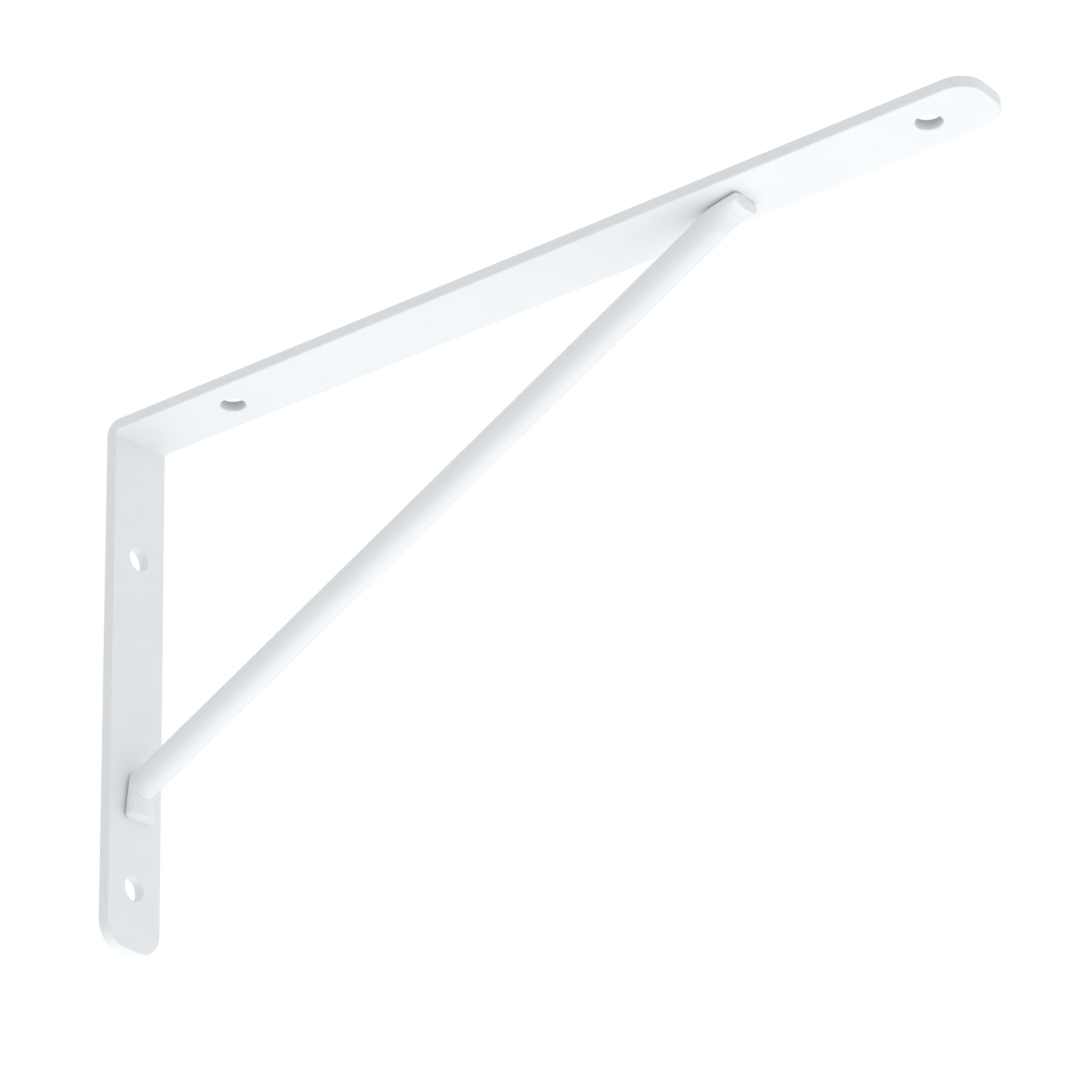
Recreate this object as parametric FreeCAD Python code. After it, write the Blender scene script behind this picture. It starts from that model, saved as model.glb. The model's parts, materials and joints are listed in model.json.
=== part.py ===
import FreeCAD, Part
import math
import os

# A shelf bracket: one flat bar folded to a right angle, braced by a round strut.
# +X runs out from the wall, +Y across the bar, +Z up. The origin lies on the face that
# touches the wall, midway between the two wall screw holes.

# Flat bar
bar_width = 25.0
bar_thick = 4.0
arm_length = 341.0            # wall face to the tip of the arm
leg_length = 187.5            # top face of the arm to the foot of the leg
bend_inner_radius = 1.2
end_corner_radius = 9.0       # rounding of the corners at both ends of the bar
edge_soften = 0.5             # radius along every rim of the bar

# Screw holes
screw_hole_diameter = 8.4
wall_hole_drop = 48.0         # top face of the arm to the upper hole of the leg
shelf_hole_reach = 45.5       # wall face to the inner hole of the arm
end_hole_inset = 21.5         # each end of the bar to the outer hole beside it
hole_bevel = 0.5              # bevel of the holes on the faces that meet wall and shelf

# Round strut, each end pressed into an oval tongue that lies on the bar
strut_diameter = 10.0
strut_reach = 251.7           # wall face to where the strut's axis meets the underside of the arm
strut_drop = 132.7            # top face of the arm to where the axis meets the front of the leg
arm_seat_length = 12.5
leg_seat_length = 15.5
tongue_width = 12.4
tongue_thick = 4.6
tongue_tip_flat = 2.0         # last stretch of a tongue, parallel to the bar
tongue_soften = 0.6           # radius round the cut end of a tongue

# How the pressed ends are shaped
seat_sink = 0.35              # how much of the last oval section is flattened against the bar
press_steps = 4               # sections between the round strut and the end of a tongue
round_steps = 3               # sections that round the cut end
lead_in = 3.0                 # round stretch that leads into each pressed end
oval_join_angle = 70.0        # where the broad and narrow arcs of a pressed section meet

wall_hole_spacing = leg_length - wall_hole_drop - end_hole_inset
arm_top_z = wall_hole_spacing / 2 + wall_hole_drop
underside_z = arm_top_z - bar_thick
foot_z = arm_top_z - leg_length
strut_radius = strut_diameter / 2
ACROSS = FreeCAD.Vector(0, 1, 0)
OUTWARD = FreeCAD.Vector(1, 0, 0)
UPWARD = FreeCAD.Vector(0, 0, 1)
DOWNWARD = FreeCAD.Vector(0, 0, -1)


def point(x, z):
    return FreeCAD.Vector(x, 0, z)


def side_profile():
    # The folded bar seen from its side. Both bend arcs share one centre.
    bend_outer_radius = bend_inner_radius + bar_thick
    centre = point(bend_outer_radius, arm_top_z - bend_outer_radius)
    outward = FreeCAD.Vector(-1, 0, 1).normalize()
    top_start = point(centre.x, arm_top_z)
    tip_top = point(arm_length, arm_top_z)
    tip_low = point(arm_length, underside_z)
    under_start = point(centre.x, underside_z)
    front_start = point(bar_thick, centre.z)
    foot_front = point(bar_thick, foot_z)
    foot_back = point(0, foot_z)
    back_start = point(0, centre.z)
    inner_middle = centre + outward * bend_inner_radius
    outer_middle = centre + outward * bend_outer_radius
    return Part.Face(Part.Wire([
        Part.makeLine(top_start, tip_top),
        Part.makeLine(tip_top, tip_low),
        Part.makeLine(tip_low, under_start),
        Part.Arc(under_start, inner_middle, front_start).toShape(),
        Part.makeLine(front_start, foot_front),
        Part.makeLine(foot_front, foot_back),
        Part.makeLine(foot_back, back_start),
        Part.Arc(back_start, outer_middle, top_start).toShape(),
    ]))


def runs_along(edge, direction):
    # True for a straight edge parallel to the given direction.
    if edge.Curve.TypeId != "Part::GeomLine":
        return False
    return edge.Curve.Direction.cross(direction).Length < 1e-6


def is_end_corner(edge):
    # The short edges through the bar's thickness at the tip of the arm and the foot of the leg.
    at_tip = runs_along(edge, UPWARD) and abs(edge.CenterOfMass.x - arm_length) < 1e-6
    at_foot = runs_along(edge, OUTWARD) and abs(edge.CenterOfMass.z - foot_z) < 1e-6
    return at_tip or at_foot


def is_outer_hole_edge(edge):
    # Where a screw hole leaves through the wall face or the shelf face.
    if edge.Curve.TypeId != "Part::GeomCircle" or edge.Curve.Radius != screw_hole_diameter / 2:
        return False
    return abs(edge.CenterOfMass.x) < 1e-6 or abs(edge.CenterOfMass.z - arm_top_z) < 1e-6


def is_rim(edge):
    # Edges between a broad face and a narrow one, which the coating rounds over.
    through_thickness = abs(edge.Length - bar_thick) < 1e-3
    across_full_width = runs_along(edge, ACROSS) and edge.Length > bar_width - 1e-3
    return not (through_thickness or across_full_width or is_outer_hole_edge(edge))


def screw_hole(centre, direction):
    # A cutter that passes right through the bar's thickness.
    start = centre - direction * bar_thick
    return Part.makeCylinder(screw_hole_diameter / 2, 3 * bar_thick, start, direction)


def screw_holes():
    return [
        screw_hole(point(0, arm_top_z - wall_hole_drop), OUTWARD),
        screw_hole(point(0, foot_z + end_hole_inset), OUTWARD),
        screw_hole(point(shelf_hole_reach, underside_z), UPWARD),
        screw_hole(point(arm_length - end_hole_inset, underside_z), UPWARD),
    ]


def bent_bar():
    face = side_profile()
    face.translate(ACROSS * (-bar_width / 2))
    bar = face.extrude(ACROSS * bar_width)
    bar = bar.makeFillet(end_corner_radius, [e for e in bar.Edges if is_end_corner(e)])
    bar = bar.cut(Part.makeCompound(screw_holes()))
    bar = bar.makeFillet(edge_soften, [e for e in bar.Edges if is_rim(e)])
    return bar.makeChamfer(hole_bevel, [e for e in bar.Edges if is_outer_hole_edge(e)])


def oval(middle, thick_direction, half_width, half_thick):
    # A closed outline of four arcs that meet smoothly; a circle when both halves are equal.
    turn = math.radians(oval_join_angle)
    spread = (half_width - half_thick) / (math.cos(turn) + math.sin(turn) - 1)
    narrow_radius = half_width - spread * math.cos(turn)
    join_y = half_width - narrow_radius + narrow_radius * math.cos(turn)
    join_t = narrow_radius * math.sin(turn)

    def place(y, t):
        return middle + ACROSS * y + thick_direction * t

    upper_left = place(-join_y, join_t)
    upper_right = place(join_y, join_t)
    lower_right = place(join_y, -join_t)
    lower_left = place(-join_y, -join_t)
    return Part.Wire([
        Part.Arc(upper_left, place(0, half_thick), upper_right).toShape(),
        Part.Arc(upper_right, place(half_width, 0), lower_right).toShape(),
        Part.Arc(lower_right, place(0, -half_thick), lower_left).toShape(),
        Part.Arc(lower_left, place(-half_width, 0), upper_left).toShape(),
    ])


def bent_line(start, corner, end, share):
    # A point on the smooth curve that leaves start, turns near corner and arrives at end.
    first = start + (corner - start) * share
    second = corner + (end - corner) * share
    return first + (second - first) * share


def round_start(up_the_strut, side, away):
    # Distance along the strut's axis, from the bar's face to the last fully round section.
    # side is the side of the strut that meets the bar, away leaves the bar's face.
    slide = -strut_radius * side.dot(away) / up_the_strut.dot(away)
    return slide + lead_in


def pressed_end(start, up_the_strut, side, along, away, seat_length):
    # One end of the strut: round at start, pressed to an oval where it lies on the bar.
    # along leads down the seat, side and away are as above.
    touch = start - up_the_strut * lead_in + side * strut_radius
    opposite = touch - side * strut_diameter
    full_length = seat_length - tongue_soften
    tip = touch + along * full_length + away * tongue_thick
    fall = (opposite - tip).dot(away) / up_the_strut.dot(away)
    crossing = opposite - up_the_strut * fall
    latest = tip - along * tongue_tip_flat
    corner = crossing if (crossing - latest).dot(along) < 0 else latest
    sections = [oval(start, side, strut_radius, strut_radius)]
    for step in range(press_steps + 1):
        share = step / press_steps
        seat_point = touch + along * (full_length * share)
        open_point = bent_line(opposite, corner, tip, share)
        across_thickness = seat_point - open_point
        half_thick = (across_thickness.Length + seat_sink * share) / 2
        thick_direction = across_thickness.normalize()
        half_width = strut_radius + (tongue_width / 2 - strut_radius) * share
        middle = open_point + thick_direction * half_thick
        sections.append(oval(middle, thick_direction, half_width, half_thick))
    pressed = Part.makeLoft(sections, True, False)
    cut_end = rounded_cut(middle, along, away)
    return pressed.fuse(cut_end).common(seat_space(touch, along, away))


def rounded_cut(middle, along, away):
    # The last short stretch of a tongue, which draws in a quarter circle to its cut face.
    half_width = tongue_width / 2
    half_thick = (tongue_thick + seat_sink) / 2
    sections = []
    for step in range(round_steps + 1):
        turn = math.radians(90 * step / round_steps)
        draw_in = tongue_soften * (1 - math.cos(turn))
        forward = along * (tongue_soften * math.sin(turn))
        sections.append(oval(middle + forward, away, half_width - draw_in, half_thick - draw_in))
    return Part.makeLoft(sections, True, False)


def seat_space(touch, along, away):
    # The space in front of the bar's face, all round one end of the strut.
    reach = 3 * strut_diameter
    corners = [
        touch - along * reach - ACROSS * reach,
        touch + along * reach - ACROSS * reach,
        touch + along * reach + ACROSS * reach,
        touch - along * reach + ACROSS * reach,
    ]
    outline = Part.makePolygon(corners + corners[:1])
    return Part.Face(outline).extrude(away * reach)


def strut():
    on_leg = point(bar_thick, arm_top_z - strut_drop)
    on_arm = point(strut_reach, underside_z)
    rising = (on_arm - on_leg).normalize()
    falling = rising * -1
    upper_side = point(-rising.z, rising.x)
    leg_start = on_leg + rising * round_start(rising, upper_side, OUTWARD)
    arm_start = on_arm + falling * round_start(falling, upper_side, DOWNWARD)
    leg_end = pressed_end(leg_start, rising, upper_side, DOWNWARD, OUTWARD, leg_seat_length)
    arm_end = pressed_end(arm_start, falling, upper_side, OUTWARD, DOWNWARD, arm_seat_length)
    length = (arm_start - leg_start).Length
    middle = Part.makeCylinder(strut_radius, length, leg_start, rising)
    return middle.fuse([leg_end, arm_end]).removeSplitter()


os.makedirs("parts", exist_ok=True)
bent_bar().exportStep("parts/bent_bar.step")
strut().exportStep("parts/strut.step")
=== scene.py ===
import json
import math
import bmesh
import bpy
from mathutils import Euler, Matrix, Vector


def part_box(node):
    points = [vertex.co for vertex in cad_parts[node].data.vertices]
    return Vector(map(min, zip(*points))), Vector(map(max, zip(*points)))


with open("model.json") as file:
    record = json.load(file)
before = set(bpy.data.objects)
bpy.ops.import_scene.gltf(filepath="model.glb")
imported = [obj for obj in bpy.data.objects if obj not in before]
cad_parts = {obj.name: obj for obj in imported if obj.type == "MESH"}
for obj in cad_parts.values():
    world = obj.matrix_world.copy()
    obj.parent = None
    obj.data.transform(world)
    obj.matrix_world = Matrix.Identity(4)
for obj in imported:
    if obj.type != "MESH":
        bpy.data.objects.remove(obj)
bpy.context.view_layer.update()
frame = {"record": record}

MM = 0.001

bar_low, bar_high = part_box("bent_bar")
strut_low, strut_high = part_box("strut")
mounts = {mount["name"]: mount for mount in frame["record"]["mounts"]}


def hole_pair(screws, axis, spacing):
    """Where the two screw holes of a mount lie along one axis of the frame."""
    middle = mounts[screws]["pos_m"][axis]
    half = mounts[screws]["dims"][spacing] * MM / 2
    return middle - half, middle + half


# Sizes of the bracket in metres, from its solids and mounts
HALF_WIDTH = bar_high.y
ARM_TOP = bar_high.z
ARM_TIP = bar_high.x
LEG_FOOT = bar_low.z
BAR_THICK = strut_low.x                 # the strut's foot lies on the front of the leg
HOLE_RADIUS = mounts["shelf_screws"]["dims"]["hole_r_mm"] * MM
SHELF_HOLES = hole_pair("shelf_screws", 0, "spacing_x_mm")
WALL_HOLES = hole_pair("wall_screws", 2, "spacing_y_mm")
ARM_TONGUE_END = strut_high.x
LEG_TONGUE_END = strut_low.z

# Small roundings, in metres
END_RADIUS = 9.0 * MM                   # corners of the bar's two ends
RIM_RADIUS = 0.5 * MM
CUT_RADIUS = 0.8 * MM                   # round the cut end of each tongue
CIRCLE_BLEND = 0.3 * MM                 # how softly a round mask ends
HOLE_SHADE_LEAD = 1.0 * MM                    # below the arm, where the painted shade in its holes starts

# Colours of the coat
WHITE = (0.884, 0.893, 0.892, 1)
COOL_WHITE = (0.858, 0.878, 0.886, 1)
BLUISH_WHITE = (0.842, 0.862, 0.882, 1)
SPECK_GREY = (0.50, 0.50, 0.48, 1)
RUBBED_GREY = (0.66, 0.68, 0.69, 1)
# painted shade: the grey that darkens the walls of the arm's screw holes
HOLE_SHADE_GREY = (0.42, 0.44, 0.45, 1)

# Scales of the coat's patterns, to the metre, from broad changes of tone to fine grain
DRIFT_SCALE = 38.0
CLOUD_SCALE = 140.0
SPECK_SCALE = 210.0
PEEL_SCALE = 620.0
WEAR_SCALE = 900.0
GRAIN_SCALE = 2600.0

# How much of each colour shows over the white, and how deep the orange peel is
CLOUD_SHARE = 0.35
SPECK_SHARE = 0.55
WEAR_SHARE = 0.22
RELIEF_STRENGTH = 0.35
RELIEF_DEPTH = 0.12 * MM

# Camera, in metres, degrees and millimetres of lens
CAMERA_PLACE = (0.8202, -0.8890, -0.5311)
CAMERA_TURN = (116.28394, 1.82187, 37.05894)
LENS_LENGTH = 133.02
SENSOR_WIDTH = 36.0
NEAREST_SEEN = 0.01
FURTHEST_SEEN = 100.0

# Studio
DAYLIGHT = (0.95, 0.977, 1.0, 1)
PLAIN_WHITE = (1, 1, 1, 1)
SKY_LEVEL = 0.865
SKY_SLOPE = 0.17                        # added towards the far side, taken off towards the near
GLOW_PLACE = (-0.1, 1.0)
GLOW_ABOVE_FLOOR = 0.02
GLOW_SIZE = 4.0
GLOW_POWER = 30.5
FLOOR_LEVEL = -1.3
FLOOR_REACH = 30.0                      # so wide that it fills the views from above
FLOOR_SCALE = 3.0
FLOOR_DARK = (0.78, 0.78, 0.78, 1)
FLOOR_PALE = (0.82, 0.82, 0.82, 1)


class Value:
    """One output of a node. Arithmetic on it adds the nodes that work it out."""

    def __init__(self, nodes, socket):
        self.nodes = nodes
        self.socket = socket

    def maths(self, operation, other=0.0):
        return self.nodes.node("ShaderNodeMath", {"operation": operation}, {0: self, 1: other})

    def above(self, low, high):
        """0 up to low, 1 from high on, with a smooth rise between."""
        return self.nodes.node(
            "ShaderNodeMapRange",
            {"interpolation_type": "SMOOTHSTEP"},
            {"Value": self, "From Min": low, "From Max": high},
        )

    def __add__(self, other):
        return self.maths("ADD", other)

    def __sub__(self, other):
        return self.maths("SUBTRACT", other)

    def __rsub__(self, other):
        return self.nodes.node("ShaderNodeMath", {"operation": "SUBTRACT"}, {0: other, 1: self})

    def __mul__(self, other):
        return self.maths("MULTIPLY", other)

    def __abs__(self):
        return self.maths("ABSOLUTE")

    __radd__ = __add__
    __rmul__ = __mul__


class Nodes:
    """Adds nodes to one node tree, of a material or of the world."""

    def __init__(self, tree):
        self.tree = tree

    def join(self, value, place):
        if isinstance(value, Value):
            self.tree.links.new(value.socket, place)
        else:
            place.default_value = value

    def node(self, kind, settings, values, output=0):
        """A new node: its settings, then what goes into its sockets, by name or by number."""
        made = self.tree.nodes.new(kind)
        for key, setting in settings.items():
            setattr(made, key, setting)
        for socket, value in values.items():
            self.join(value, made.inputs[socket])
        return Value(self, made.outputs[output])

    def mix(self, amount, first, second):
        return self.node("ShaderNodeMix", {"data_type": "RGBA"}, {0: amount, 6: first, 7: second}, 2)

    def parts(self, vector):
        return [self.node("ShaderNodeSeparateXYZ", {}, {0: vector}, axis) for axis in "XYZ"]


class Finish(Nodes):
    """One procedural material, built round a Principled shader."""

    def __init__(self, name):
        self.material = bpy.data.materials.new(name)
        self.material.use_nodes = True
        super().__init__(self.material.node_tree)
        self.shader = self.tree.nodes["Principled BSDF"]
        self.place = self.node("ShaderNodeTexCoord", {}, {}, "Object")

    def noise(self, scale, detail, roughness):
        values = {"Vector": self.place, "Scale": scale, "Detail": detail, "Roughness": roughness}
        return self.node("ShaderNodeTexNoise", {}, values)

    def cells(self, scale, output):
        return self.node("ShaderNodeTexVoronoi", {}, {"Vector": self.place, "Scale": scale}, output)

    def set(self, **inputs):
        for key, value in inputs.items():
            self.join(value, self.shader.inputs[key.replace("_", " ")])


def specks_of(coat):
    """1 on a small dot in the middle of a few of the cells."""
    any_share = coat.node("ShaderNodeSeparateColor", {}, {0: coat.cells(SPECK_SCALE, "Color")})
    from_middle = coat.cells(SPECK_SCALE, "Distance")
    return any_share.above(0.93, 0.96) * (1.0 - from_middle.above(0.03, 0.075))


def white_coat(name, edges_of, hole_shade_of=None):
    """Smooth white powder coat: faint orange peel, a few specks, thinner over the edges."""
    coat = Finish(name)
    drift = coat.noise(DRIFT_SCALE, detail=3.0, roughness=0.55)
    cloud = coat.noise(CLOUD_SCALE, detail=2.0, roughness=0.5)
    peel = coat.noise(PEEL_SCALE, detail=2.0, roughness=0.45)
    grain = coat.noise(GRAIN_SCALE, detail=1.0, roughness=0.4)
    wear = coat.noise(WEAR_SCALE, detail=3.0, roughness=0.6)
    colour = coat.mix(drift.above(0.35, 0.68), COOL_WHITE, WHITE)
    colour = coat.mix(cloud.above(0.45, 0.75) * CLOUD_SHARE, colour, BLUISH_WHITE)
    colour = coat.mix(specks_of(coat) * SPECK_SHARE, colour, SPECK_GREY)
    # painted shade: the walls of the arm's screw holes turn grey, darkest towards the shelf face
    if hole_shade_of:
        colour = coat.mix(hole_shade_of(coat), colour, HOLE_SHADE_GREY)
    rubbed = edges_of(coat) * wear.above(0.42, 0.66)
    colour = coat.mix(rubbed * WEAR_SHARE, colour, RUBBED_GREY)
    relief = coat.node("ShaderNodeBump", {}, {
        "Strength": RELIEF_STRENGTH,
        "Distance": RELIEF_DEPTH,
        "Height": peel * 0.75 + grain * 0.12 + cloud * 0.6,
    })
    coat.set(
        Base_Color=colour,
        Roughness=0.36 + drift * 0.10 + peel * 0.06 + rubbed * 0.12,
        Normal=relief,
        Coat_Weight=0.12,
        Coat_Roughness=0.22,
    )
    return coat.material


def within(first, second, radius):
    """1 inside a circle of this radius, from the two distances to its centre's lines."""
    apart = (first * first + second * second).maths("SQRT")
    return 1.0 - apart.above(radius, radius + CIRCLE_BLEND)


def bar_edges(coat):
    """1 on the rounded rims of the folded bar, along its outline and round its holes."""
    x, y, z = coat.parts(coat.place)
    depth = x.maths("MINIMUM", ARM_TOP - z)
    beside_face = abs(depth - BAR_THICK / 2).above(BAR_THICK / 2 - RIM_RADIUS, BAR_THICK / 2)
    past_straight = (abs(y) - (HALF_WIDTH - END_RADIUS)).maths("MAXIMUM", 0.0)
    past_end = (x - (ARM_TIP - END_RADIUS)).maths("MAXIMUM", LEG_FOOT + END_RADIUS - z)
    middle = within(past_straight, past_end.maths("MAXIMUM", 0.0), END_RADIUS - RIM_RADIUS)
    rims = 1.0 - middle
    for reach in SHELF_HOLES:
        rims = rims + within(x - reach, y, HOLE_RADIUS + RIM_RADIUS)
    for height in WALL_HOLES:
        rims = rims + within(z - height, y, HOLE_RADIUS + RIM_RADIUS)
    return beside_face * rims.maths("MINIMUM", 1.0)


def bar_hole_shade(coat):
    """Painted shade inside the arm's two screw holes, darkest at the shelf face."""
    x, y, z = coat.parts(coat.place)
    inside = 0.0
    for reach in SHELF_HOLES:
        inside = inside + within(x - reach, y, HOLE_RADIUS)
    return inside * z.above(ARM_TOP - BAR_THICK - HOLE_SHADE_LEAD, ARM_TOP)


def strut_edges(coat):
    """1 on the cut ends of the strut's two tongues, where they round over."""
    x, _, z = coat.parts(coat.place)
    at_arm = x.above(ARM_TONGUE_END - CUT_RADIUS, ARM_TONGUE_END)
    at_leg = (LEG_TONGUE_END + CUT_RADIUS - z).above(0.0, CUT_RADIUS)
    return at_arm + at_leg


def camera():
    """Below the arm and in front of it, on the near side, looking up towards the wall."""
    lens = bpy.data.cameras.new("camera")
    lens.sensor_width = SENSOR_WIDTH
    lens.lens = LENS_LENGTH
    lens.clip_start = NEAREST_SEEN
    lens.clip_end = FURTHEST_SEEN
    holder = bpy.data.objects.new("camera", lens)
    turn = Euler([math.radians(angle) for angle in CAMERA_TURN])
    holder.matrix_world = Matrix.LocRotScale(Vector(CAMERA_PLACE), turn, None)
    bpy.context.scene.collection.objects.link(holder)
    bpy.context.scene.camera = holder


def glow_below():
    """A wide soft light that faces up from just over the floor, more to the far side."""
    light = bpy.data.lights.new("glow_below", "AREA")
    light.shape = "SQUARE"
    light.size = GLOW_SIZE
    light.energy = GLOW_POWER
    holder = bpy.data.objects.new("glow_below", light)
    holder.location = (*GLOW_PLACE, FLOOR_LEVEL + GLOW_ABOVE_FLOOR)
    holder.rotation_euler = (math.pi, 0.0, 0.0)
    holder.visible_camera = False
    bpy.context.scene.collection.objects.link(holder)


def studio():
    """Soft light all round, a little weaker from the near side. It is seen as plain white."""
    world = bpy.data.worlds.new("studio")
    world.use_nodes = True
    sky = Nodes(world.node_tree)
    seen = 0.0
    for kind in ("Is Camera Ray", "Is Glossy Ray", "Is Transmission Ray"):
        seen = sky.node("ShaderNodeLightPath", {}, {}, kind).maths("MAXIMUM", seen)
    _, y, _ = sky.parts(sky.node("ShaderNodeTexCoord", {}, {}, "Generated"))
    soft = SKY_LEVEL + SKY_SLOPE * y
    shade = world.node_tree.nodes["Background"]
    sky.join(sky.mix(seen, DAYLIGHT, PLAIN_WHITE), shade.inputs["Color"])
    sky.join(seen + soft * (1.0 - seen), shade.inputs["Strength"])
    bpy.context.scene.world = world


def floor():
    """A plain pale floor, well below the hung bracket."""
    mesh = bpy.data.meshes.new("floor")
    work = bmesh.new()
    bmesh.ops.create_grid(work, x_segments=4, y_segments=4, size=FLOOR_REACH)
    bmesh.ops.translate(work, vec=(0, 0, FLOOR_LEVEL), verts=work.verts)
    work.to_mesh(mesh)
    work.free()
    board = bpy.data.objects.new("floor", mesh)
    paint = Finish("floor_paint")
    tone = paint.noise(FLOOR_SCALE, detail=2.0, roughness=0.5)
    paint.set(
        Base_Color=paint.mix(tone, FLOOR_DARK, FLOOR_PALE),
        Roughness=0.75 + tone * 0.1,
    )
    mesh.materials.append(paint.material)
    bpy.context.scene.collection.objects.link(board)


def dress(piece, material):
    """Puts the material in each slot of a solid."""
    mesh = bpy.data.objects[piece].data
    if not mesh.materials:
        mesh.materials.append(material)
    for slot in range(len(mesh.materials)):
        mesh.materials[slot] = material


camera()
floor()
glow_below()
studio()
dress("bent_bar", white_coat("bar_coat", bar_edges, bar_hole_shade))
dress("strut", white_coat("strut_coat", strut_edges))

bpy.context.scene.view_settings.view_transform = "Standard"
